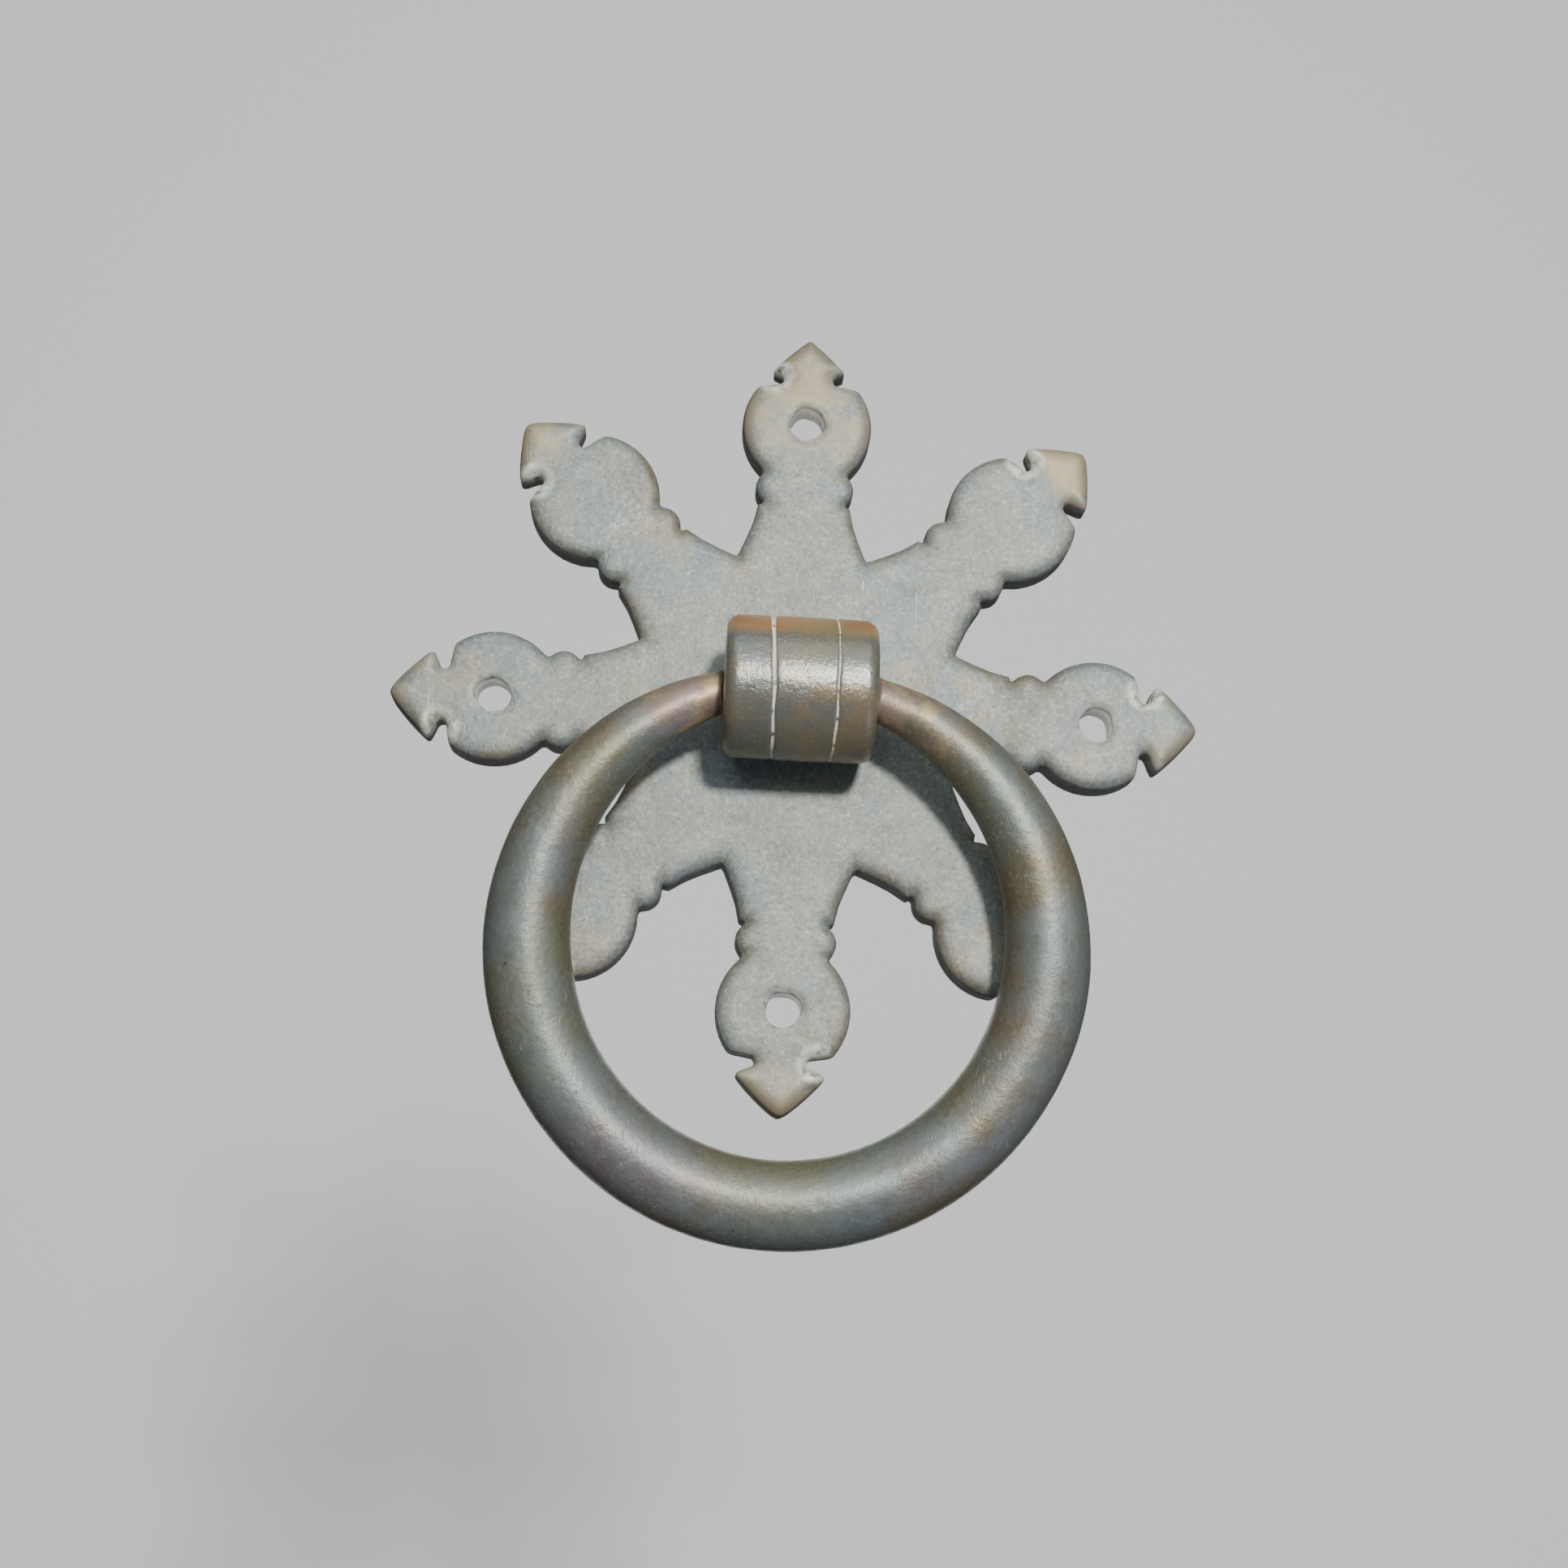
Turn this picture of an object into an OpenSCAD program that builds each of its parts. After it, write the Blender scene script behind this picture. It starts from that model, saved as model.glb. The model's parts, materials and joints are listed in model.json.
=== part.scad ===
// Ring door knocker: an eight-armed star plate carries a barrel knuckle, and a
// tapered ring swings in the knuckle to strike the plate's lower arms.
// Frame: +Z up, +X right seen from the front, front towards -Y.
// Origin: centre of the plate on its back face, which lies in the plane y = 0.

/* [Back plate] */
// Width from arm tip to opposite arm tip
plate_span = 150; // [149:0.5:152]
// Thickness of the plate
plate_t = 8.2; // [7:0.2:9]
// Number of arms
arm_count = 8; // [8]
// Diameter of the four screw holes
screw_hole_d = 6.4; // [5:0.1:7]
// Diameter of the circle that the screw holes lie on
screw_circle_d = 111; // [109:1:113]
// Width of the worn bevel round each screw hole
screw_hole_bevel = 0.6; // [0.2:0.1:1]

/* [Arm outline] */
// Half width that an arm's straight flanks would have at the plate's centre
arm_root_w = 21.6; // [20:0.2:22]
// Distance from the centre to the ledge where the flanks end
ledge_u = 39.6; // [39:0.2:40]
// Half width at the ledge
ledge_w = 8.8; // [8.4:0.1:9]
// Half width of the neck under the bead and the head
neck_w = 7.4; // [7:0.1:7.6]
// Distance from the centre to the bead
bead_u = 43; // [42.6:0.2:43.4]
// Half width over the two beads
bead_w = 9.2; // [9:0.1:9.4]
// Radius of a bead
bead_r = 3.4; // [3.2:0.1:3.6]
// Distance from the centre to the middle of the round head
head_u = 55.5; // [55:0.1:56]
// Radius of the round head
head_r = 12.2; // [12:0.1:12.4]
// Distance from the centre to the round bottom of a notch
notch_u = 64.8; // [64.5:0.1:65]
// Half distance between the round bottoms of a head's two notches
notch_w = 5.6; // [5.4:0.1:5.9]
// Radius of a notch's bottom
notch_r = 1; // [0.8:0.05:1.1]
// Angle that each side of a notch flares by
notch_flare = 16; // [12:1:18]
// Distance from the centre to the arrowhead's barbs
barb_u = 67.2; // [67:0.1:67.5]
// Half width over the barbs
barb_w = 8.3; // [8:0.1:8.6]

/* [Barrel knuckle] */
// Diameter of the barrel
barrel_d = 25.8; // [25:0.2:27]
// Length of the barrel
barrel_l = 27.4; // [27:0.2:29]
// Radius of the barrel's rounded ends
barrel_edge_r = 2; // [1:0.25:2.5]
// Height of the barrel's axis above the plate's front face
axis_h = 14.4; // [14:0.1:15]
// Distance of each turned groove from the barrel's middle
groove_x = 5.4; // [5:0.1:6]
// Width of a groove
groove_w = 0.8; // [0.6:0.1:1]
// Depth of a groove
groove_depth = 0.4; // [0.2:0.1:0.5]

/* [Bearing saddle] */
// Distance from the barrel's axis to the flat under the barrel
flat_h = 9; // [8.8:0.1:9.2]
// Length of the saddle's foot along the barrel
foot_l = 23; // [22.5:0.5:24]
// Width of the saddle's foot across the barrel
foot_w = 18.6; // [18.2:0.2:19]

/* [Ring] */
// Radius of the ring's centre line
ring_r = 45.9; // [45:0.1:46.5]
// Thickness of the bar at the grip
bar_d = 16; // [15:0.5:16]
// Thickness of the bar where it meets the barrel
bar_end_d = 7.8; // [7.7:0.1:8.2]
// Diameter of the journal that turns inside the barrel
journal_d = 5; // [4.6:0.1:5]
// Backward lean of the ring where it lies against the plate
ring_lean = 6.5; // [6:0.25:6.5]

/* [Barrel screws] */
// Shank diameter of the screws that hold the barrel
screw_d = 4; // [3.8:0.1:4]
// Head diameter of the screws that hold the barrel
screw_head_d = 7.6; // [7.2:0.2:7.8]
// Distance of each screw from the plate's centre along the barrel
screw_x = 8.5; // [8:0.1:9]
// Distance of each screw from the plate's centre across the barrel
screw_z = 6.4; // [6.3:0.1:6.5]

/* [Hidden] */
BRONZE_GREY = [0.52, 0.54, 0.50];
BRONZE_BROWN = [0.42, 0.39, 0.30];
BRONZE_OLIVE = [0.45, 0.43, 0.34];
SCREW_BRASS = [0.55, 0.48, 0.33];

tip_u = plate_span / 2;
axis_y = -(plate_t + axis_h);
foot_y = axis_y + flat_h;
barrel_r = barrel_d / 2;
running_gap = 0.05;
bore_r = journal_d / 2 + running_gap;
fit_gap = 0.05;
cut = 1;

screw_hole_step = 90;
notch_depth = 6;
notch_lean = 7;
edge_step = 15;
key_rise = journal_d / 4;

bar_gap = 0.3;
bar_end_x = barrel_l / 2 + bar_gap;
bar_end_drop = 1.2;
journal_grip = 0.3;
taper_start = 72;
taper_span = 90;
taper_power = 1.7;
ring_drop = sqrt(ring_r * ring_r - bar_end_x * bar_end_x) + bar_end_drop;
bar_end_angle = 180 - asin(bar_end_x / ring_r);
bar_sides = 20;
bar_sections = 72;

screw_head_sink = 0.3;
screw_head_h = (screw_head_d - screw_d) / 2;
screw_past_axis = 1.5;
screw_tip_y = axis_y - screw_past_axis;
pilot_past_tip = 0.5;
slot_w = 0.9;
slot_depth = 0.9;

// ---------------------------------------------------------------- helpers

// A cylinder whose axis runs along Y, from y0 forwards to y1 (y1 < y0).
module bore_y(r, y0, y1) {
    translate([0, y0, 0]) rotate([90, 0, 0]) cylinder(r = r, h = y0 - y1, $fn = 64);
}

// A cone whose axis runs along Y, with radius r0 at y0 and r1 at y1 (y1 < y0).
module cone_y(r0, r1, y0, y1) {
    translate([0, y0, 0]) rotate([90, 0, 0]) cylinder(r1 = r0, r2 = r1, h = y0 - y1, $fn = 64);
}

// A block given by its low and high corners.
module block(low, high) {
    translate(low) cube(high - low);
}

// ------------------------------------------------------------- back plate

// A notch: a round bottom that a flaring cut opens to the side.
module notch() {
    mouth = notch_r + notch_depth * tan(notch_flare);
    translate([notch_u, notch_w]) {
        circle(r = notch_r, $fn = 48);
        rotate(-notch_lean)
            polygon([[-notch_r, 0], [-mouth, notch_depth], [mouth, notch_depth], [notch_r, 0]]);
    }
}

// One arm, along +X: flanks, neck, beads, round head and arrowhead.
module arm_outline() {
    difference() {
        union() {
            polygon([[0, -arm_root_w], [ledge_u, -ledge_w], [ledge_u, ledge_w], [0, arm_root_w]]);
            translate([0, -neck_w]) square([head_u, 2 * neck_w]);
            for (side = [-1, 1])
                translate([bead_u, side * (bead_w - bead_r)]) circle(r = bead_r, $fn = 64);
            translate([head_u, 0]) circle(r = head_r, $fn = 96);
            polygon([
                [head_u, -notch_w], [barb_u, -barb_w], [tip_u, 0],
                [barb_u, barb_w], [head_u, notch_w]
            ]);
        }
        notch();
        mirror([0, 1]) notch();
    }
}

module screw_hole() {
    bore_y(screw_hole_d / 2, cut, -plate_t - cut);
    cone_y(screw_hole_d / 2, screw_hole_d / 2 + screw_hole_bevel + cut,
           -plate_t + screw_hole_bevel, -plate_t - cut);
}

module back_plate() {
    color(BRONZE_GREY)
    difference() {
        rotate([90, 0, 0]) linear_extrude(plate_t)
            for (i = [0 : arm_count - 1]) rotate(i * 360 / arm_count) arm_outline();
        for (angle = [0 : screw_hole_step : 359])
            rotate([0, angle, 0]) translate([screw_circle_d / 2, 0, 0]) screw_hole();
        at_barrel_screws() {
            bore_y(screw_d / 2 + fit_gap, cut, -plate_t - cut);
            cone_y(screw_head_d / 2 + fit_gap + cut, screw_d / 2 + fit_gap,
                   cut - screw_head_sink, -screw_head_sink - screw_head_h);
        }
    }
}

// -------------------------------------------------------- barrel knuckle

// Half of the barrel's profile from its middle to its end: [along the axis, radius].
function barrel_half_profile() = concat(
    [[groove_x - groove_w / 2, barrel_r],
     [groove_x, barrel_r - groove_depth],
     [groove_x + groove_w / 2, barrel_r]],
    [for (a = [0 : edge_step : 90]) [
        barrel_l / 2 - barrel_edge_r * (1 - sin(a)),
        barrel_r - barrel_edge_r * (1 - cos(a))
    ]]
);

module barrel_body() {
    half = barrel_half_profile();
    last = len(half) - 1;
    mirrored = [for (i = [last : -1 : 0]) [-half[i][0], half[i][1]]];
    outline = concat([[-barrel_l / 2, 0]], mirrored, half, [[barrel_l / 2, 0]]);
    rotate([0, 90, 0]) rotate_extrude($fn = 128)
        polygon([for (p = outline) [p[1], p[0]]]);
}

// The barrel is a cap: a slot under it lets the ring's journal in from below.
module knuckle_barrel() {
    color(BRONZE_BROWN)
    difference() {
        translate([0, axis_y, 0]) barrel_body();
        block([-barrel_l, foot_y, -barrel_d], [barrel_l, 0, barrel_d]);
        translate([-barrel_l, axis_y, 0]) rotate([0, 90, 0])
            cylinder(r = bore_r, h = 2 * barrel_l, $fn = 64);
        block([-barrel_l, axis_y, -bore_r], [barrel_l, foot_y + cut, bore_r]);
        at_barrel_screws()
            bore_y(screw_d / 2, foot_y + cut, screw_tip_y - pilot_past_tip);
    }
}

// -------------------------------------------------------- bearing saddle

// The saddle is the foot under the barrel and the key that closes its slot.
module bearing_saddle() {
    key_w = bore_r - fit_gap;
    color(BRONZE_BROWN)
    difference() {
        union() {
            block([-foot_l / 2, foot_y, -foot_w / 2], [foot_l / 2, -plate_t, foot_w / 2]);
            block([-barrel_l / 2, axis_y + key_rise, -key_w], [barrel_l / 2, foot_y + cut, key_w]);
        }
        translate([-barrel_l, axis_y, 0]) rotate([0, 90, 0])
            cylinder(r = bore_r, h = 2 * barrel_l, $fn = 64);
        at_barrel_screws() bore_y(screw_d / 2 + fit_gap, 0, axis_y);
    }
}

// ------------------------------------------------------------------ ring

// Bar radius at an angle from the bottom of the ring.
function taper(a) = max(0, abs(a) - taper_start) / taper_span;
function bar_radius(a) = bar_end_d / 2 + (bar_d - bar_end_d) / 2 * (1 - pow(taper(a), taper_power));

// A point on the bar's skin: a is the angle from the bottom, b the angle round the bar.
function skin_point(a, b) = let(reach = ring_r + bar_radius(a) * cos(b))
    [reach * sin(a), bar_radius(a) * sin(b), -ring_drop - reach * cos(a)];

// The end sections lie flat against the barrel's ends.
function end_point(a, b) = let(p = skin_point(a, b), run = (sign(a) * bar_end_x - p[0]) / cos(a))
    p + run * [cos(a), 0, sin(a)];

function section(i) = let(a = bar_end_angle * (2 * i / bar_sections - 1))
    [for (k = [0 : bar_sides - 1]) let(b = 360 * k / bar_sides)
        i == 0 || i == bar_sections ? end_point(a, b) : skin_point(a, b)];

module bar() {
    points = [for (i = [0 : bar_sections]) each section(i)];
    walls = [for (i = [0 : bar_sections - 1], k = [0 : bar_sides - 1])
        let(n = (k + 1) % bar_sides, low = i * bar_sides, high = low + bar_sides)
        each [[high + n, low + n, low + k], [high + k, high + n, low + k]]];
    first_end = [for (k = [0 : bar_sides - 1]) k];
    last_end = [for (k = [bar_sides - 1 : -1 : 0]) bar_sections * bar_sides + k];
    polyhedron(points, concat(walls, [first_end, last_end]));
}

// One closed casting: the tapered bar and the straight journal that joins its ends.
module ring() {
    color(BRONZE_OLIVE)
    translate([0, axis_y, 0]) rotate([ring_lean, 0, 0]) {
        bar();
        translate([-bar_end_x - journal_grip, 0, 0]) rotate([0, 90, 0])
            cylinder(d = journal_d, h = 2 * (bar_end_x + journal_grip), $fn = 64);
    }
}

// --------------------------------------------------------- barrel screws

module at_barrel_screws() {
    for (x = [-screw_x, screw_x], z = [-screw_z, screw_z]) translate([x, 0, z]) children();
}

// A slotted countersunk screw, driven forwards from the back of the plate.
module barrel_screw() {
    difference() {
        union() {
            cone_y(screw_head_d / 2, screw_d / 2, -screw_head_sink, -screw_head_sink - screw_head_h);
            bore_y(screw_d / 2, -screw_head_sink - screw_head_h / 2, screw_tip_y);
        }
        block([-screw_head_d, -screw_head_sink - slot_depth, -slot_w / 2], [screw_head_d, cut, slot_w / 2]);
    }
}

module barrel_screws() {
    color(SCREW_BRASS) at_barrel_screws() barrel_screw();
}

back_plate();
bearing_saddle();
knuckle_barrel();
barrel_screws();
ring();
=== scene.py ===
import json
import math

import bpy
import numpy as np
import openvdb
from mathutils import Matrix, Vector, noise


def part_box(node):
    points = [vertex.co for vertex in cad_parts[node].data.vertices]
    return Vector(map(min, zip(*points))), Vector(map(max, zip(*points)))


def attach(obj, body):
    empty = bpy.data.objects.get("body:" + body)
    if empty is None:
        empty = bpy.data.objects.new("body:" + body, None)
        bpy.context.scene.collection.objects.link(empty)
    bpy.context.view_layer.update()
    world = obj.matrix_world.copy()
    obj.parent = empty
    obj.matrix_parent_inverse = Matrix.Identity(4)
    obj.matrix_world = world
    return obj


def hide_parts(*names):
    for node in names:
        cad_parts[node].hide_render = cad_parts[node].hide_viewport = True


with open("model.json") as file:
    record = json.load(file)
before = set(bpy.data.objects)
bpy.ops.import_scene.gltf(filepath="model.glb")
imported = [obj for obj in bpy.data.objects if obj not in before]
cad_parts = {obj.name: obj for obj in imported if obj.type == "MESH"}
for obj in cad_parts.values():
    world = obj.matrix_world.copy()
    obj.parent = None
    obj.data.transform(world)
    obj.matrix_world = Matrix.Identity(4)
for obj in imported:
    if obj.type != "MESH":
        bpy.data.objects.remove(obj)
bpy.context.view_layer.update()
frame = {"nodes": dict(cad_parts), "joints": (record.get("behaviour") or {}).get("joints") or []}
MM = 0.001

# Main sizes in millimetres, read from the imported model.
PLATE_LOW, PLATE_HIGH = (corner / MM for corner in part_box("back_plate"))
BARREL_LOW, BARREL_HIGH = (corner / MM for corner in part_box("knuckle_barrel"))
PLATE_T = -PLATE_LOW.y
TIP_U = PLATE_HIGH.x
BARREL_R = BARREL_HIGH.z
BARREL_HALF = BARREL_HIGH.x
AXIS_Y = frame["joints"][0]["pos_m"][1] / MM
FOOT_Y = BARREL_HIGH.y

# Outline of one arm of the plate: u along the arm, v across it.
ARMS = 8
LEDGE_U, LEDGE_W = 39.6, 8.6
NECK_W = 7.4
BEAD = (43.0, 5.8, 3.4)
HEAD = (55.5, 12.2)
NOTCH = (64.8, 5.6)
NOTCH_R, MOUTH_R = 0.95, 2.2
BARB = (67.2, 8.3)
TOP_ARM = 2
SCREW_RING = 55.5
SCREW_R = 3.2
PLATE_STEP = 0.55

# The countersunk holes for the barrel screws, in the back of the plate.
BARREL_SCREW_X, BARREL_SCREW_Z = 8.5, 6.4
BARREL_SCREW_R = 2.1
SINK_R, SINK_DEPTH = 4.2, 3.0
SINK_SLOPE = 0.7071

# The barrel: where its two scribed grooves run, and how far its edges are rounded.
LEFT_GROOVE, RIGHT_GROOVE = -5.0, 5.9
BARREL_EDGE_R = 2.2
BORE_R = 2.55
BARREL_STEP = 0.22

# The ring, as in the CAD model, except that its bar ends closer to the barrel.
RING_R = 45.9
BAR_R, BAR_END_R, JOURNAL_R = 8.0, 3.9, 2.5
BAR_GAP = 0.12
BAR_END_X = BARREL_HALF + BAR_GAP
BAR_END_DROP = 1.2
RING_DROP = math.sqrt(RING_R**2 - BAR_END_X**2) + BAR_END_DROP
TAPER_START, TAPER_SPAN, TAPER_POWER = 72, 90, 1.7
RING_LEAN = 6.5
RING_SECTIONS, RING_SIDES = 430, 112
# Dents in the bar: degrees round the ring, degrees round the bar, size and depth.
DENTS = [(-38, 25, 1.6, 0.16), (-15, 60, 1.1, 0.12), (22, 40, 1.4, 0.15), (64, 70, 1.8, 0.16),
         (95, 35, 1.2, 0.12), (-84, 58, 1.5, 0.14), (-112, 80, 1.0, 0.10), (8, 95, 1.3, 0.14)]


# ---------------------------------------------------------------- shapes


def smooth_min(a, b, k):
    h = np.clip(0.5 + 0.5 * (b - a) / k, 0, 1)
    return b + (a - b) * h - k * h * (1 - h)


def smooth_max(a, b, k):
    return -smooth_min(-a, -b, k)


def smoothstep(low, high, x):
    t = np.clip((x - low) / (high - low), 0, 1)
    return t * t * (3 - 2 * t)


def rounded_edge(a, b, r):
    """Signed distance to what lies inside both a and b, the edge between them rounded to radius r."""
    qa, qb = a + r, b + r
    return np.minimum(np.maximum(qa, qb), 0) + np.hypot(np.maximum(qa, 0), np.maximum(qb, 0)) - r


def disc(u, v, cu, cv, r):
    return np.hypot(u - cu, v - cv) - r


def rectangle(u, v, u0, u1, v0, v1):
    du = np.abs(u - (u0 + u1) / 2) - (u1 - u0) / 2
    dv = np.abs(v - (v0 + v1) / 2) - (v1 - v0) / 2
    return np.hypot(np.maximum(du, 0), np.maximum(dv, 0)) + np.minimum(np.maximum(du, dv), 0)


def capsule(u, v, a, b, ra, rb):
    """Signed distance to a round-ended bar from a to b, whose half width runs from ra to rb."""
    ax, ay = a
    dx, dy = b[0] - ax, b[1] - ay
    t = np.clip(((u - ax) * dx + (v - ay) * dy) / (dx * dx + dy * dy), 0, 1)
    return np.hypot(u - ax - t * dx, v - ay - t * dy) - (ra + (rb - ra) * t)


def polygon(u, v, points):
    """Signed distance to a closed polygon."""
    best = np.full(np.shape(u), 1e9)
    inside = np.zeros(np.shape(u), bool)
    for (x0, y0), (x1, y1) in zip(points, points[1:] + points[:1]):
        dx, dy = x1 - x0, y1 - y0
        t = np.clip(((u - x0) * dx + (v - y0) * dy) / (dx * dx + dy * dy), 0, 1)
        best = np.minimum(best, np.hypot(u - x0 - t * dx, v - y0 - t * dy))
        crosses = (y0 > v) != (y1 > v)
        side = (v - y0) * dx / (dy if dy else 1e-9) + x0
        inside ^= crosses & (u < side)
    return np.where(inside, -best, best)


def noise_field(x, y, z, size, seed):
    """Smooth noise from -1 to 1 with features about size millimetres across."""
    shape = np.broadcast(x, y, z).shape
    flat = [np.broadcast_to(c, shape).ravel() / size + seed for c in (x, y, z)]
    values = [noise.noise((a, b, c)) for a, b, c in zip(*flat)]
    return np.array(values).reshape(shape)


def fold_arm(x, z):
    """Turns a point of the plate onto its nearest arm: (u, |v|, arm number from the right, anticlockwise)."""
    angle = np.arctan2(z, x)
    arm = np.round(angle / (2 * math.pi / ARMS))
    rest = angle - arm * 2 * math.pi / ARMS
    r = np.hypot(x, z)
    return r * np.cos(rest), r * np.abs(np.sin(rest)), arm % ARMS


def arm_outline(u, v, arm):
    """Signed distance to the outline of an arm, v being the distance from its centre line."""
    half = [(-10, 26), (29.2, 12.1), (33, 10.5), (36, 9.4), (LEDGE_U, LEDGE_W)]
    body = polygon(u, v, half + [(a, -b) for a, b in reversed(half)])
    neck = rectangle(u, v, LEDGE_U - 16, HEAD[0], -NECK_W, NECK_W)
    bead = disc(u, v, *BEAD)
    head = disc(u, v, HEAD[0], 0, HEAD[1])
    chord = np.array([TIP_U - BARB[0], BARB[1]])
    across = chord[::-1] / np.linalg.norm(chord)
    bow = 45.0
    reach = math.sqrt(bow**2 - (np.linalg.norm(chord) / 2) ** 2)
    middle = np.array([(TIP_U + BARB[0]) / 2, BARB[1] / 2]) - across * reach
    worn = (arm == TOP_ARM) * 1.0
    flank = disc(u, v, middle[0], middle[1], bow) + 1.5 * worn
    flank = smooth_max(flank, u - TIP_U + 0.15 + 0.95 * worn, 1.2)
    barb = v - NOTCH[1] - (u - HEAD[0]) * (BARB[1] - NOTCH[1]) / (BARB[0] - HEAD[0])
    arrow = smooth_max(smooth_max(flank, barb, 0.8), HEAD[0] + 1 - u, 0.5)
    shape = smooth_min(body, neck, 0.7)
    shape = smooth_min(shape, bead, 0.7)
    shape = smooth_min(shape, head, 1.0)
    shape = smooth_min(shape, arrow, 0.6)
    mouth = (NOTCH[0] + 0.5, NOTCH[1] + 4.2)
    notch = capsule(u, v, NOTCH, mouth, NOTCH_R, MOUTH_R)
    return smooth_max(shape, -notch, 0.5)


def mesh_from_distance(name, distance, low, high, step):
    """A closed mesh, in metres, of the surface where distance(x, y, z) in millimetres is zero."""
    axes = [np.arange(a - 2 * step, b + 2.01 * step, step) for a, b in zip(low, high)]
    field = distance(axes[0][:, None, None], axes[1][None, :, None], axes[2][None, None, :])
    band = 3 * step
    grid = openvdb.FloatGrid(band)
    grid.copyFromArray(np.ascontiguousarray(np.clip(field, -band, band), dtype=np.float32))
    points, quads = grid.convertToQuads(isovalue=0.0)
    start = np.array([axis[0] for axis in axes])
    return new_mesh(name, points * step + start, quads)


def new_mesh(name, points, quads):
    """A smooth mesh object from points in millimetres and quads."""
    mesh = bpy.data.meshes.new(name)
    mesh.from_pydata([], [], [])
    mesh.vertices.add(len(points))
    mesh.vertices.foreach_set("co", (np.asarray(points) * MM).astype(np.float32).ravel())
    mesh.loops.add(quads.size)
    mesh.loops.foreach_set("vertex_index", quads.astype(np.int32).ravel())
    mesh.polygons.add(len(quads))
    mesh.polygons.foreach_set("loop_start", np.arange(0, quads.size, 4, dtype=np.int32))
    mesh.polygons.foreach_set("use_smooth", np.ones(len(quads), dtype=bool))
    mesh.update(calc_edges=True)
    mesh.validate()
    piece = bpy.data.objects.new(name, mesh)
    bpy.context.scene.collection.objects.link(piece)
    return piece


def points_of(piece):
    co = np.empty(len(piece.data.vertices) * 3, np.float32)
    piece.data.vertices.foreach_get("co", co)
    return co.reshape(-1, 3) / MM


def set_mask(piece, name, values):
    """Stores a value from 0 to 1 at each vertex, for the material to read."""
    layer = piece.data.attributes.new(name, "FLOAT", "POINT")
    layer.data.foreach_set("value", np.clip(values, 0, 1).astype(np.float32))


# ------------------------------------------------------------- back plate


def barrel_screw_holes(x, y, z):
    """Signed distance to the countersunk holes for the barrel screws."""
    ring = np.hypot(np.abs(x) - BARREL_SCREW_X, np.abs(z) - BARREL_SCREW_Z)
    sink = (ring - (SINK_R + y)) * SINK_SLOPE
    return np.minimum(np.maximum(sink, -y - SINK_DEPTH), ring - BARREL_SCREW_R)


def screw_holes(x, z):
    """Distance from the walls of the four door-screw holes, negative inside them."""
    near = np.where(np.abs(x) > np.abs(z), np.abs(x), np.abs(z))
    side = np.where(np.abs(x) > np.abs(z), np.abs(z), np.abs(x))
    return np.hypot(near - SCREW_RING, side) - SCREW_R


def plate_distance(x, y, z):
    """Signed distance to the plate: a sagging face with worn edges, then its holes."""
    u, v, arm = fold_arm(x[:, :, 0], z[0, 0, :][None, :])
    xx, zz = np.broadcast_arrays(x[:, :, 0], z[0, 0, :][None, :])
    outline = arm_outline(u, v, arm)
    sag = 0.16 + 0.14 * noise_field(xx, 0, zz, 13, 3.1) + 0.05 * noise_field(xx, 0, zz, 4.5, 8.7)
    sag = sag + 0.6 * smoothstep(-4.6, 0.4, outline) ** 2
    wear = noise_field(xx, 0, zz, 9, 5.3)
    round_r = 1.55 + 0.35 * wear + 0.5 * smoothstep(63, 68, u)
    round_r = round_r + 0.8 * (arm == TOP_ARM) * smoothstep(46, 56, u)
    hole = screw_holes(xx, zz) + 0.5 * noise_field(xx, 0, zz, 3.4, 1.7)

    outline, sag, round_r, hole = (a[:, None, :] for a in (outline, sag, round_r, hole))
    front = -y - PLATE_T + sag
    rounded = rounded_edge(outline, front, round_r)
    solid = smooth_max(rounded, y + 0 * rounded, 0.7)
    solid = smooth_max(solid, -hole, 1.1)
    return np.maximum(solid, -barrel_screw_holes(x, y, z))


def make_plate():
    piece = mesh_from_distance("back_plate_cast", plate_distance, PLATE_LOW, PLATE_HIGH, PLATE_STEP)
    x, y, z = points_of(piece).T
    u, v, arm = fold_arm(x, z)
    outline = arm_outline(u, v, arm)
    depth = y + PLATE_T
    hole = screw_holes(x, z)
    set_mask(piece, "edge", smoothstep(-2.6, -0.6, outline) * smoothstep(3.0, 0.8, depth))
    # The wall mask marks the side walls below the face; plate_bronze paints them near-black as painted shade.
    set_mask(piece, "wall", smoothstep(1.2, 3.0, depth) * (hole > 1.5) * (y < -0.3))
    set_mask(piece, "back", smoothstep(-0.6, -0.1, y))
    notch = np.hypot(u - NOTCH[0], v - NOTCH[1] - 0.8)
    turn = np.sin(np.arctan2(z, x) - arm * 2 * math.pi / ARMS)
    packed = smoothstep(4.2, 2.8, notch) * np.where(turn > 0, 1.0, 0.25) * smoothstep(5.5, 2.5, depth)
    residue = np.maximum(packed, smoothstep(0.9, 0.1, hole) * smoothstep(5.0, 2.0, depth) * 0.75)
    set_mask(piece, "residue", residue)
    upper = np.isin(arm, (TOP_ARM - 1, TOP_ARM, TOP_ARM + 1))
    tip = smoothstep(62.5, 68, u) * np.where(upper, 1.0, 0.35 + 0.5 * smoothstep(-3, -1, outline))
    top_head = smoothstep(44, 58, u) * (arm == TOP_ARM)
    set_mask(piece, "tip", np.maximum(tip, 0.8 * top_head))
    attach(piece, "plate_assembly")
    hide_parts("back_plate")
    return piece


# --------------------------------------------------------- barrel knuckle


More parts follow.
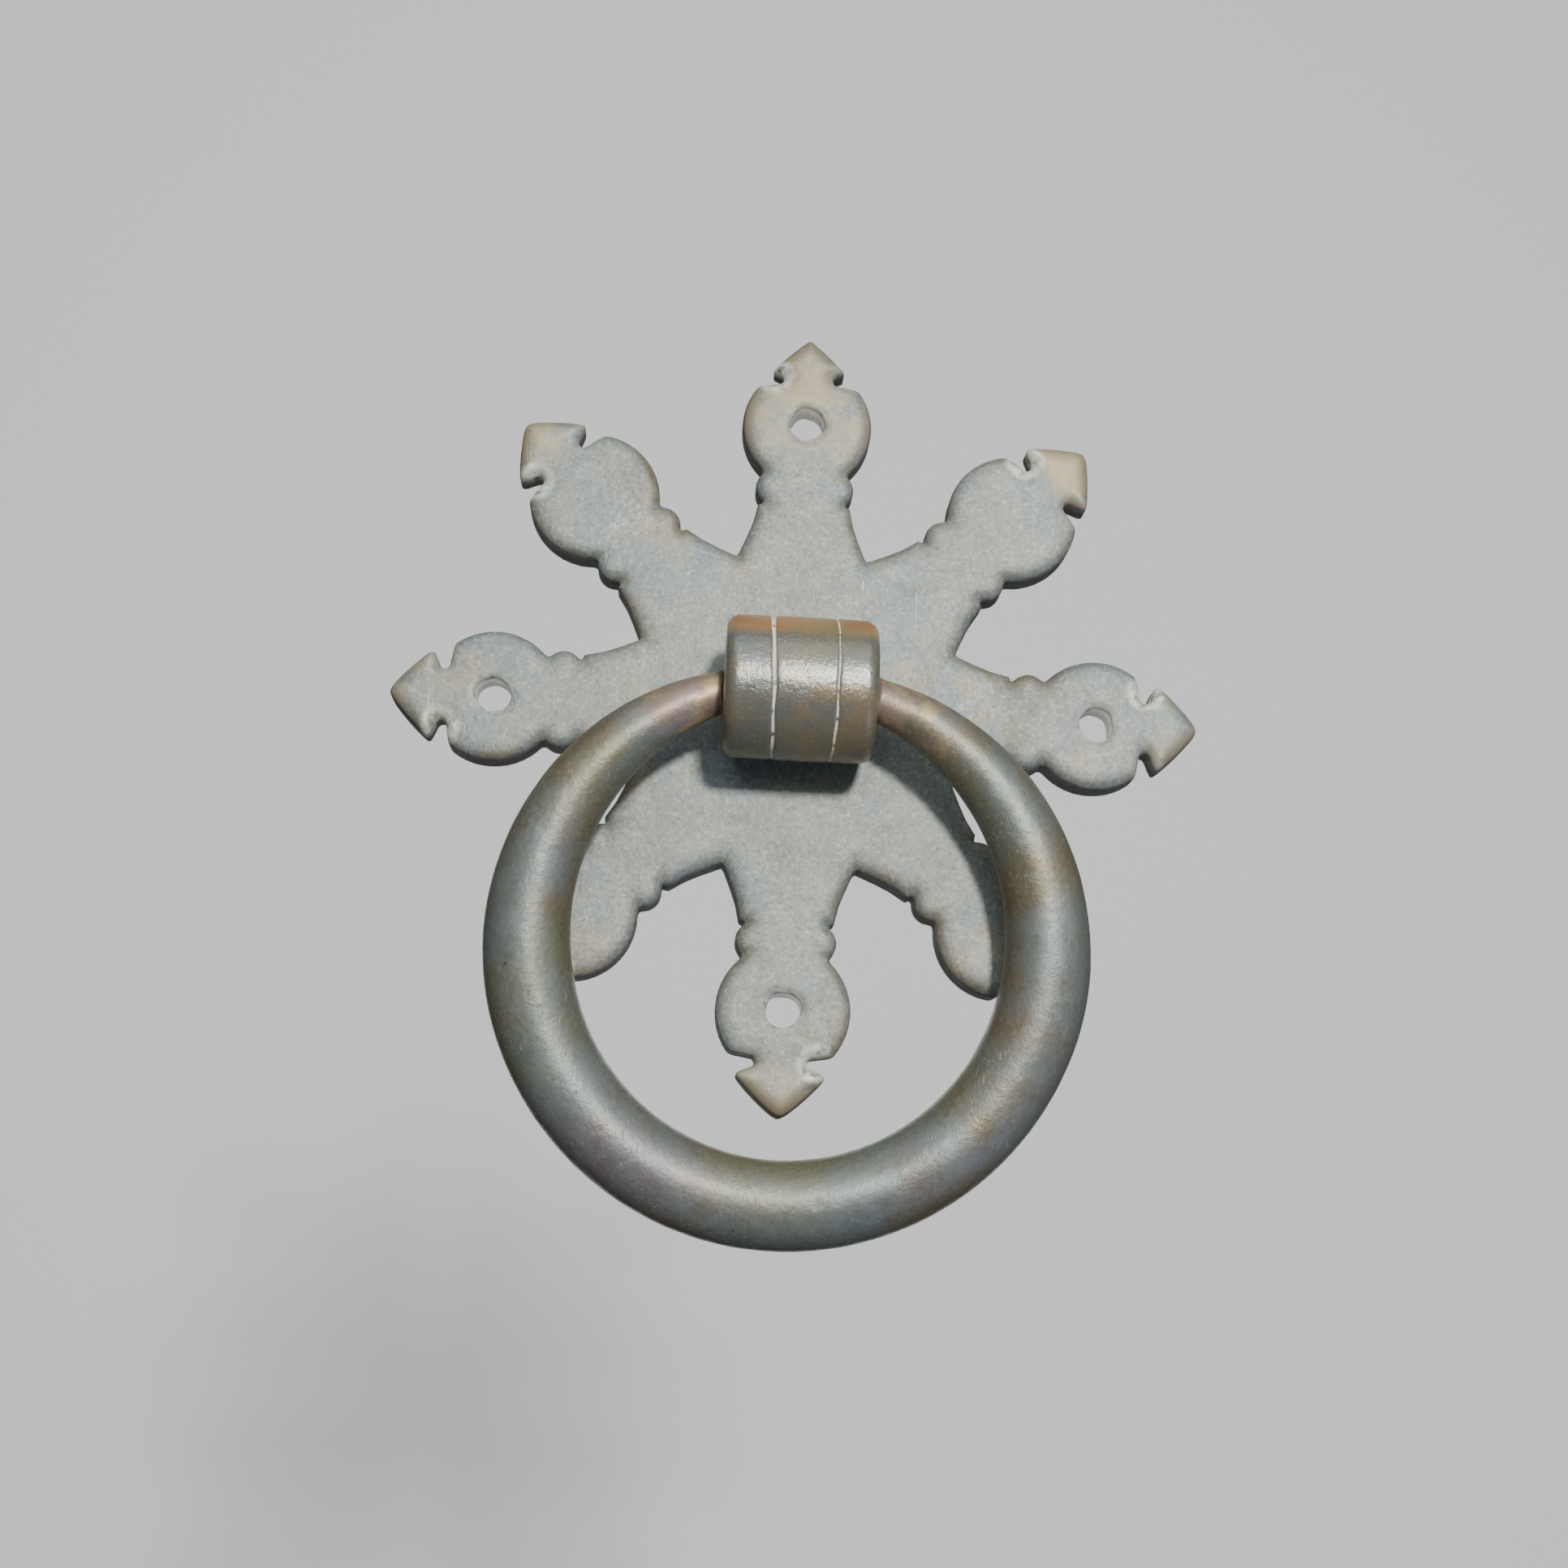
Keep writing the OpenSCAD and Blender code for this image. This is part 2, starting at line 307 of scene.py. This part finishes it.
def groove_paths(x, y, z):
    """Distance along the barrel from each scribed groove's wandering line, and that groove's half width."""
    turn = np.arctan2(z, -(y - AXIS_Y))
    wander = 0.05 * np.cos(turn * 5 + 0.6) + 0.04 * np.cos(turn * 9 + 2.0)
    left = x - LEFT_GROOVE + 0.42 * np.sin(turn) - wander
    right = x - RIGHT_GROOVE - 0.4 * np.cos(turn) + wander
    left_w = 0.32 + 0.08 * np.sin(turn) + 0.05 * np.cos(turn * 6)
    right_w = 0.20 - 0.06 * np.cos(turn * 2 - 0.8) + 0.03 * np.cos(turn * 8)
    return left, right, left_w, right_w


def barrel_distance(x, y, z):
    """Signed distance to the barrel: a grooved cylinder, flat behind, with the bore and its slot cut out."""
    dy = y - AXIS_Y
    r = np.hypot(dy, z)
    side = r - BARREL_R + 0.06 + 0.001 * x * x
    end = np.abs(x) - BARREL_HALF + 0.05 + 0.25 * smoothstep(4, 12, r)
    solid = rounded_edge(side, end, BARREL_EDGE_R)
    left, right, left_w, right_w = groove_paths(x, y, z)
    cut_left = 0.3 * np.exp(-((left / (left_w + 0.12)) ** 2))
    cut_right = 0.2 * np.exp(-((right / (right_w + 0.12)) ** 2))
    solid = solid + cut_left + cut_right
    solid = smooth_max(solid, y - FOOT_Y + 0 * solid, 0.4)
    slot = np.maximum(np.abs(z) - BORE_R, -dy)
    return np.maximum(solid, -np.minimum(r - BORE_R, slot))


def make_barrel():
    name = "knuckle_barrel_turned"
    piece = mesh_from_distance(name, barrel_distance, BARREL_LOW, BARREL_HIGH, BARREL_STEP)
    x, y, z = points_of(piece).T
    left, right, left_w, right_w = groove_paths(x, y, z)
    outer = np.hypot(y - AXIS_Y, z) > BARREL_R - 1
    filled = np.maximum(np.exp(-((left / left_w) ** 4)), 0.8 * np.exp(-((right / right_w) ** 4)))
    set_mask(piece, "groove", filled * outer)
    rim = smoothstep(2.6, 0.6, BARREL_HALF - np.abs(x)) * smoothstep(9, 12, np.hypot(y - AXIS_Y, z))
    set_mask(piece, "edge", rim)
    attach(piece, "plate_assembly")
    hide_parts("knuckle_barrel")
    return piece


# ------------------------------------------------------------------ ring


def bar_radius(angle):
    """The bar's radius at an angle round the ring from its lowest point, tapering towards the barrel."""
    taper = np.maximum(0, np.degrees(np.abs(angle)) - TAPER_START) / TAPER_SPAN
    return BAR_END_R + (BAR_R - BAR_END_R) * (1 - taper**TAPER_POWER)


def ring_points(sections, sides):
    """Points of the ring hanging straight down from the origin: first the bar, then the journal back."""
    end = math.pi - math.asin(BAR_END_X / RING_R)
    a = np.linspace(-end, end, sections)[:, None]
    b = np.linspace(0, 2 * math.pi, sides, endpoint=False)[None, :]
    r = bar_radius(a)
    reach = RING_R + r * np.cos(b)
    bar = np.stack([reach * np.sin(a), r * np.sin(b) + 0 * a, -RING_DROP - reach * np.cos(a)], -1)
    for i in (0, -1):
        run = (np.sign(a[i]) * BAR_END_X - bar[i, :, 0]) / np.cos(a[i])
        bar[i, :, 0] += run * np.cos(a[i])
        bar[i, :, 2] += run * np.sin(a[i])
    journal_x = [BAR_END_X * f for f in (1, 0.98, 0.5, 0, -0.5, -0.98, -1)]
    angle = b[0]
    journal = np.array([
        np.stack([np.full(sides, x), JOURNAL_R * np.sin(angle), JOURNAL_R * np.cos(angle)], -1)
        for x in journal_x
    ])
    return np.concatenate([bar, journal]), len(bar)


def loop_quads(rows, sides):
    """Quads of a closed tube of rows that joins end to end."""
    i = np.arange(rows)[:, None]
    k = np.arange(sides)[None, :]
    n, up = (k + 1) % sides, (i + 1) % rows
    quads = np.stack([i * sides + k, i * sides + n, up * sides + n, up * sides + k], -1)
    return quads.reshape(-1, 4)


def rough_casting(points, bar_rows):
    """Lowers the bar's skin by small casting waves and by the dents of use, along the bar's own radius."""
    bar = points[:bar_rows]
    middle = bar.mean(axis=1, keepdims=True)
    out = bar - middle
    out /= np.linalg.norm(out, axis=2, keepdims=True)
    x, y, z = bar[..., 0], bar[..., 1], bar[..., 2]
    depth = 0.10 + 0.08 * noise_field(x, y, z, 14, 2.2) + 0.035 * noise_field(x, y, z, 4.0, 6.4)
    depth += 0.012 * noise_field(x, y, z, 1.3, 9.1)
    for along, round_bar, size, deep in DENTS:
        a, b = math.radians(along), math.radians(-round_bar)
        r = bar_radius(a)
        reach = RING_R + r * math.cos(b)
        centre = np.array([reach * math.sin(a), r * math.sin(b), -RING_DROP - reach * math.cos(a)])
        far = np.linalg.norm(bar - centre, axis=2)
        depth += deep * np.exp(-((far / size) ** 2))
    depth[0] *= 0
    depth[-1] *= 0
    points[:bar_rows] = bar - out * depth[..., None]
    return points


def clear_of_barrel(bar):
    """Flattens the bar's last sections onto its end planes, so that none of the skin enters the barrel."""
    x = bar[..., 0]
    near_barrel = bar[..., 2] > -RING_DROP
    outside = np.where(x < 0, -1.0, 1.0) * np.maximum(np.abs(x), BAR_END_X)
    bar[..., 0] = np.where(near_barrel, outside, x)


def make_ring():
    points, bar_rows = ring_points(RING_SECTIONS, RING_SIDES)
    rows = len(points)
    points = rough_casting(points, bar_rows)
    clear_of_barrel(points[:bar_rows])
    lean = math.radians(RING_LEAN)
    x, y, z = points.reshape(-1, 3).T
    turned = np.stack([x, y * math.cos(lean) - z * math.sin(lean) + AXIS_Y,
                       y * math.sin(lean) + z * math.cos(lean)], -1)
    piece = new_mesh("ring_cast", turned, loop_quads(rows, RING_SIDES)[:, ::-1])
    angle = np.degrees(np.arctan2(x, -(z + RING_DROP)))
    set_mask(piece, "ends", smoothstep(135, 160, np.abs(angle)))
    # The crest mask marks the bar's outer front, which ring_bronze paints lighter: partly rubbed wear, partly
    # a painted highlight.
    crest = np.clip(-y / BAR_R, 0, 1)
    set_mask(piece, "crest", smoothstep(0.45, 1.0, crest))
    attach(piece, "ring")
    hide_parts("ring")
    return piece


# -------------------------------------------------------------- materials


class Shader:
    """A material's node tree, with short ways to add the nodes that the bronzes share."""

    def __init__(self, name):
        self.material = bpy.data.materials.new(name)
        self.material.use_nodes = True
        self.tree = self.material.node_tree
        self.surface = self.tree.nodes["Principled BSDF"]
        self.place = self.add("ShaderNodeTexCoord").outputs["Object"]

    def add(self, kind, **values):
        node = self.tree.nodes.new(kind)
        for key, value in values.items():
            setattr(node, key, value)
        return node

    def put(self, socket, value):
        if isinstance(value, bpy.types.NodeSocket):
            self.tree.links.new(value, socket)
        elif isinstance(value, tuple) and len(value) == 3 and len(socket.default_value) == 4:
            socket.default_value = (*value, 1)
        else:
            socket.default_value = value

    def math(self, operation, a, b=0.0, clamp=False):
        node = self.add("ShaderNodeMath", operation=operation, use_clamp=clamp)
        self.put(node.inputs[0], a)
        self.put(node.inputs[1], b)
        return node.outputs[0]

    def noise(self, scale, detail=3.0, roughness=0.5, stretch=None, turn=(0, 0, 0), distortion=0.0):
        node = self.add("ShaderNodeTexNoise")
        place = self.place
        if stretch:
            mapping = self.add("ShaderNodeMapping")
            self.put(mapping.inputs["Vector"], place)
            mapping.inputs["Rotation"].default_value = turn
            mapping.inputs["Scale"].default_value = stretch
            place = mapping.outputs[0]
        self.put(node.inputs["Vector"], place)
        self.put(node.inputs["Scale"], scale)
        self.put(node.inputs["Detail"], detail)
        self.put(node.inputs["Roughness"], roughness)
        self.put(node.inputs["Distortion"], distortion)
        return node.outputs["Fac"]

    def between(self, value, low, high):
        """0 below low, 1 above high, smooth in between; reversed where low is above high."""
        node = self.add("ShaderNodeMapRange", interpolation_type="SMOOTHSTEP")
        self.put(node.inputs["Value"], value)
        start, end = (0.0, 1.0) if low < high else (1.0, 0.0)
        self.put(node.inputs["From Min"], min(low, high))
        self.put(node.inputs["From Max"], max(low, high))
        self.put(node.inputs["To Min"], start)
        self.put(node.inputs["To Max"], end)
        return node.outputs["Result"]

    def mix(self, factor, a, b, blend="MIX"):
        node = self.add("ShaderNodeMix", data_type="RGBA", blend_type=blend)
        self.put(node.inputs[0], factor)
        self.put(node.inputs[6], a)
        self.put(node.inputs[7], b)
        return node.outputs[2]

    def mask(self, name):
        return self.add("ShaderNodeAttribute", attribute_name=name).outputs["Fac"]

    def height(self, axis):
        node = self.add("ShaderNodeSeparateXYZ")
        self.put(node.inputs[0], self.place)
        return node.outputs[axis]

    def times(self, a, b):
        return self.math("MULTIPLY", a, b)

    def plus(self, a, b):
        return self.math("ADD", a, b)

    def scratches(self, scale=2400, cut=0.66, spread=0.55):
        """Fine straight marks in three directions, from 0 to 1."""
        marks = 0.0
        for turn in ((0, 0.6, 0), (0, 2.1, 0), (0, 1.35, 0)):
            lines = self.noise(scale, 1.0, 0.4, (1, 1, 0.045), turn)
            here = self.between(self.noise(48, 2.0, 0.5, (1, 1, 1), turn), spread, spread + 0.1)
            marks = self.math("MAXIMUM", marks, self.times(self.between(lines, cut, cut + 0.05), here))
        return marks

    def scribbles(self, scale, thin, spread):
        """Thin wandering lines, like the traces of dried polish, from 0 to 1."""
        field = self.noise(scale, 2.0, 0.5, distortion=0.6)
        away = self.math("ABSOLUTE", self.math("SUBTRACT", field, 0.5))
        places = self.noise(scale * 0.35, 3.0, 0.6, (1, 1, 1), (0.3, 0.9, 0.4))
        here = self.between(places, spread, spread + 0.08)
        return self.times(self.between(away, thin, thin * 0.2), here)

    def bump(self, height, distance, below=None):
        node = self.add("ShaderNodeBump")
        self.put(node.inputs["Height"], height)
        node.inputs["Strength"].default_value = 1.0
        node.inputs["Distance"].default_value = distance
        if below:
            self.put(node.inputs["Normal"], below)
        return node.outputs[0]

    def finish(self, colour, roughness, metallic, normal):
        self.put(self.surface.inputs["Base Color"], colour)
        self.put(self.surface.inputs["Roughness"], roughness)
        self.put(self.surface.inputs["Metallic"], metallic)
        self.put(self.surface.inputs["Normal"], normal)
        return self.material


def plate_bronze():
    s = Shader("plate_patina_and_wall_shade")
    grey, blue, beige = (0.226, 0.238, 0.212), (0.196, 0.232, 0.230), (0.285, 0.262, 0.198)
    brown, tan = (0.19, 0.15, 0.088), (0.42, 0.335, 0.195)
    # dark is not a bronze colour: it is the painted shade laid on the side walls.
    chalky, dark = (0.74, 0.76, 0.66), (0.028, 0.025, 0.02)
    colour = s.mix(s.between(s.noise(42, 4, 0.6), 0.42, 0.62), grey, blue)
    colour = s.mix(s.times(s.between(s.noise(75, 5, 0.65, distortion=0.4), 0.5, 0.66), 0.9), colour, beige)
    stain = s.between(s.noise(34, 5, 0.65, distortion=0.5), 0.53, 0.66)
    colour = s.mix(s.times(stain, 0.8), colour, (0.165, 0.172, 0.135))
    grain = s.noise(1300, 4, 0.7)
    colour = s.mix(s.times(s.between(grain, 0.5, 0.70), 0.7), colour, (0.43, 0.42, 0.33))
    colour = s.mix(s.times(s.between(grain, 0.47, 0.28), 0.75), colour, (0.10, 0.105, 0.088))
    flecks = s.between(s.noise(2600, 2, 0.5), 0.66, 0.74)
    colour = s.mix(s.times(flecks, 0.5), colour, (0.50, 0.47, 0.36))
    marks = s.scratches()
    colour = s.mix(s.times(marks, 0.5), colour, (0.50, 0.49, 0.42))
    chalk = s.scribbles(210, 0.012, 0.55)
    colour = s.mix(s.times(chalk, 0.55), colour, (0.58, 0.58, 0.52))
    patches = s.noise(160, 5, 0.7)
    edge = s.times(s.mask("edge"), s.between(s.noise(70, 5, 0.7), 0.46, 0.66))
    colour = s.mix(s.times(edge, 0.6), colour, brown)
    tip = s.times(s.mask("tip"), s.between(s.noise(110, 5, 0.65), 0.34, 0.56))
    colour = s.mix(s.times(tip, 0.8), colour, tan)
    # Painted shade: the side walls are painted near-black, standing in for the shade that falls on them.
    wall = s.mask("wall")
    colour = s.mix(s.times(wall, 0.94), colour, dark)
    back = s.mask("back")
    raw = s.mix(s.between(s.noise(60, 5, 0.65), 0.4, 0.62), (0.16, 0.145, 0.11), (0.22, 0.205, 0.16))
    colour = s.mix(back, colour, raw)
    residue = s.times(s.mask("residue"), s.between(s.noise(150, 3, 0.6), 0.20, 0.38))
    residue = s.times(residue, s.between(s.noise(520, 4, 0.6), 0.30, 0.55))
    colour = s.mix(s.times(residue, 0.9), colour, chalky)
    roughness = s.plus(s.times(patches, 0.22), 0.42)
    roughness = s.plus(roughness, s.times(wall, 0.35))
    relief = s.plus(s.times(grain, 0.7), s.times(s.noise(420, 4, 0.6), 0.8))
    normal = s.bump(relief, 0.00010)
    normal = s.bump(s.times(marks, -1.0), 0.00004, normal)
    metallic = s.math("SUBTRACT", 0.30, s.times(wall, 0.25))
    return s.finish(colour, roughness, metallic, normal)


def ring_bronze():
    s = Shader("ring_patina_and_highlight")
    olive, brown, grey = (0.160, 0.152, 0.092), (0.175, 0.122, 0.070), (0.165, 0.188, 0.176)
    golden, rose = (0.48, 0.35, 0.17), (0.34, 0.235, 0.19)
    colour = s.mix(s.between(s.noise(30, 3, 0.55), 0.42, 0.64), olive, brown)
    colour = s.mix(s.times(s.between(s.noise(44, 3, 0.55), 0.38, 0.58), 0.85), colour, grey)
    colour = s.mix(s.times(s.between(s.noise(38, 3, 0.6), 0.52, 0.66), 0.7), colour, (0.170, 0.128, 0.130))
    grain = s.noise(1000, 5, 0.7)
    colour = s.mix(s.times(s.between(grain, 0.5, 0.72), 0.5), colour, (0.30, 0.29, 0.22))
    colour = s.mix(s.times(s.between(grain, 0.45, 0.28), 0.5), colour, (0.07, 0.062, 0.042))
    # Lighter bluish-grey along the crest: partly rubbed wear, partly a painted highlight.
    crest = s.times(s.mask("crest"), s.between(s.noise(130, 5, 0.7), 0.30, 0.62))
    colour = s.mix(s.times(crest, 0.35), colour, (0.25, 0.28, 0.28))
    ends = s.mask("ends")
    colour = s.mix(s.times(s.times(ends, s.between(s.noise(120, 4, 0.6), 0.34, 0.56)), 0.75), colour, rose)
    colour = s.mix(s.times(s.times(ends, s.between(s.noise(210, 4, 0.6), 0.48, 0.62)), 0.8), colour, golden)
    marks = s.scratches(2600, 0.66, 0.52)
    colour = s.mix(s.times(marks, 0.3), colour, (0.46, 0.44, 0.35))
    spots = s.between(s.noise(300, 2, 0.5), 0.73, 0.77)
    colour = s.mix(s.times(spots, 0.6), colour, (0.05, 0.045, 0.035))
    roughness = s.plus(s.times(s.noise(260, 4, 0.6), 0.22), 0.34)
    relief = s.plus(s.times(grain, 0.7), s.times(s.noise(420, 3, 0.6), 0.8))
    normal = s.bump(relief, 0.00012)
    normal = s.bump(s.times(marks, -1.0), 0.00004, normal)
    return s.finish(colour, roughness, 0.5, normal)


def barrel_bronze():
    s = Shader("barrel_patina_and_reflection")
    dark, olive = (0.185, 0.195, 0.180), (0.225, 0.210, 0.150)
    reflected_orange, green, cream = (0.60, 0.31, 0.125), (0.38, 0.33, 0.145), (0.78, 0.66, 0.50)
    colour = s.mix(s.between(s.noise(90, 4, 0.6), 0.40, 0.64), dark, olive)
    colour = s.mix(s.times(s.between(s.noise(65, 3, 0.6), 0.52, 0.68), 0.6), colour, (0.24, 0.18, 0.11))
    worn = s.times(s.between(s.height(2), -0.0005, -0.0035), s.between(s.height(0), -0.003, 0.001))
    worn = s.times(worn, s.between(s.noise(120, 3, 0.6), 0.34, 0.56))
    colour = s.mix(s.times(worn, 0.75), colour, (0.30, 0.228, 0.130))
    # Painted reflection: the top band of the barrel gets reddish-brown and olive patches, standing in for the
    # surroundings reflected in it.
    upper = s.between(s.height(2), 0.0064, 0.0088)
    painted_top_reflection = s.mix(s.between(s.noise(110, 3, 0.6), 0.48, 0.66), reflected_orange, green)
    colour = s.mix(s.times(upper, 0.85), colour, painted_top_reflection)
    rim = s.times(s.mask("edge"), s.between(s.noise(320, 4, 0.6), 0.42, 0.62))
    colour = s.mix(s.times(rim, 0.4), colour, (0.34, 0.28, 0.17))
    marks = s.scratches(2600, 0.66, 0.50)
    colour = s.mix(s.times(marks, 0.4), colour, (0.50, 0.46, 0.34))
    patches = s.between(s.noise(620, 3, 0.6), 0.32, 0.46)
    filled = s.times(s.between(s.mask("groove"), 0.25, 0.65), patches)
    colour = s.mix(filled, colour, cream)
    grain = s.noise(1400, 4, 0.65)
    colour = s.mix(s.times(s.between(grain, 0.5, 0.72), 0.35), colour, (0.36, 0.35, 0.29))
    roughness = s.plus(s.times(s.noise(300, 4, 0.6), 0.20), 0.20)
    roughness = s.plus(roughness, s.times(filled, 0.4))
    metallic = s.math("SUBTRACT", 0.55, s.times(filled, 0.55))
    relief = s.plus(s.times(grain, 0.8), s.noise(420, 3, 0.6))
    normal = s.bump(relief, 0.00012)
    return s.finish(colour, roughness, metallic, normal)


def hidden_bronze():
    s = Shader("saddle_patina")
    colour = s.mix(s.between(s.noise(160, 4, 0.6), 0.4, 0.62), (0.08, 0.065, 0.045), (0.14, 0.12, 0.085))
    normal = s.bump(s.noise(700, 4, 0.6), 0.00006)
    return s.finish(colour, s.plus(s.times(s.noise(300), 0.25), 0.4), 0.6, normal)


def screw_brass():
    s = Shader("screw_tarnish")
    colour = s.mix(s.between(s.noise(260, 4, 0.6), 0.38, 0.62), (0.30, 0.23, 0.11), (0.15, 0.12, 0.075))
    normal = s.bump(s.noise(900, 4, 0.6), 0.00005)
    return s.finish(colour, s.plus(s.times(s.noise(340), 0.25), 0.32), 0.8, normal)


def paint(piece, material):
    piece.data.materials.clear()
    piece.data.materials.append(material)


# ------------------------------------------------------------------ stage


def make_stage():
    """A plain pale backdrop, far enough behind that a camera fits between it and the knocker's back."""
    half, y = 4.0, 0.8
    mesh = bpy.data.meshes.new("pale_backdrop")
    corners = [(-half, y, -half), (half, y, -half), (half, y, half), (-half, y, half)]
    mesh.from_pydata(corners, [], [(0, 1, 2, 3)])
    backdrop = bpy.data.objects.new("pale_backdrop", mesh)
    bpy.context.scene.collection.objects.link(backdrop)
    s = Shader("pale_backdrop")
    colour = s.mix(s.noise(3, 2), (0.78, 0.77, 0.75), (0.81, 0.80, 0.78))
    s.surface.inputs["Emission Color"].default_value = (1, 1, 1, 1)
    s.surface.inputs["Emission Strength"].default_value = 0.3
    mesh.materials.append(s.finish(colour, 0.9, 0.0, s.bump(s.noise(40), 0.0002)))
    backdrop.visible_shadow = False
    backdrop.visible_diffuse = False
    backdrop.visible_glossy = False


def area_light(name, place, target, size, power, colour):
    data = bpy.data.lights.new(name, "AREA")
    data.shape = "RECTANGLE"
    data.size, data.size_y = size
    data.energy = power
    data.color = colour
    light = bpy.data.objects.new(name, data)
    light.location = place
    light.rotation_euler = (Vector(target) - Vector(place)).to_track_quat("-Z", "Y").to_euler()
    bpy.context.scene.collection.objects.link(light)


def make_world():
    """Pale light from the front and sides, a little dimmer from behind, where the door would be."""
    world = bpy.data.worlds.new("studio")
    bpy.context.scene.world = world
    world.use_nodes = True
    tree = world.node_tree
    background = tree.nodes["Background"]
    place = tree.nodes.new("ShaderNodeTexCoord")
    parts = tree.nodes.new("ShaderNodeSeparateXYZ")
    ramp = tree.nodes.new("ShaderNodeValToRGB")
    span = tree.nodes.new("ShaderNodeMapRange")
    tree.links.new(place.outputs["Generated"], parts.inputs[0])
    tree.links.new(parts.outputs[1], span.inputs["Value"])
    span.inputs["From Min"].default_value = -1
    span.inputs["From Max"].default_value = 1
    ramp.color_ramp.elements[0].position = 0.35
    ramp.color_ramp.elements[0].color = (0.80, 0.82, 0.84, 1)
    ramp.color_ramp.elements[1].position = 0.62
    ramp.color_ramp.elements[1].color = (0.55, 0.55, 0.55, 1)
    tree.links.new(span.outputs["Result"], ramp.inputs["Fac"])
    tree.links.new(ramp.outputs["Color"], background.inputs["Color"])
    background.inputs["Strength"].default_value = 0.20


def make_lights():
    middle = (0, 0, -0.02)
    area_light("key", (0.17, -1.0, 0.20), middle, (0.10, 0.10), 11.2, (1.0, 0.99, 0.97))
    area_light("sky", (-0.1, -0.7, 0.85), middle, (1.3, 0.6), 4.0, (0.88, 0.94, 1.0))
    area_light("window", (-0.12, -1.0, 0.24), middle, (0.60, 0.42), 2.2, (0.80, 0.90, 1.0))
    area_light("fill", (0.9, -0.8, 0.25), middle, (0.7, 0.7), 1.4, (0.93, 0.96, 1.0))
    area_light("low", (0.75, -0.45, -0.85), middle, (0.45, 0.45), 1.3, (0.16, 0.36, 1.0))
    area_light("behind", (0.0, 0.78, 0.0), middle, (0.7, 0.7), 5.0, (1.0, 1.0, 1.0))
    make_world()


def make_camera():
    """The camera looks up at the plate a little from below: turned about the plate's own axes."""
    tilt, swing, roll = (math.radians(a) for a in (-11.98, 1.96, -2.85))
    offset = Vector((0.00218, 0.01388, -0.44708))
    turn = Matrix.Rotation(roll, 3, "Z") @ Matrix.Rotation(swing, 3, "Y") @ Matrix.Rotation(tilt, 3, "X")
    facing = Matrix(((1, 0, 0), (0, 0, -1), (0, 1, 0)))
    back = turn.transposed()
    data = bpy.data.cameras.new("camera")
    data.sensor_width = 36
    data.lens = 55.9
    data.clip_start = 0.01
    camera = bpy.data.objects.new("camera", data)
    place = facing @ (back @ -offset) + Vector((0, PLATE_LOW.y * MM, 0))
    camera.matrix_world = Matrix.Translation(place) @ (facing @ back).to_4x4()
    bpy.context.scene.collection.objects.link(camera)
    bpy.context.scene.camera = camera


make_camera()
paint(make_plate(), plate_bronze())
paint(make_barrel(), barrel_bronze())
paint(make_ring(), ring_bronze())
paint(frame["nodes"]["bearing_saddle"], hidden_bronze())
paint(frame["nodes"]["barrel_screws"], screw_brass())
make_stage()
make_lights()
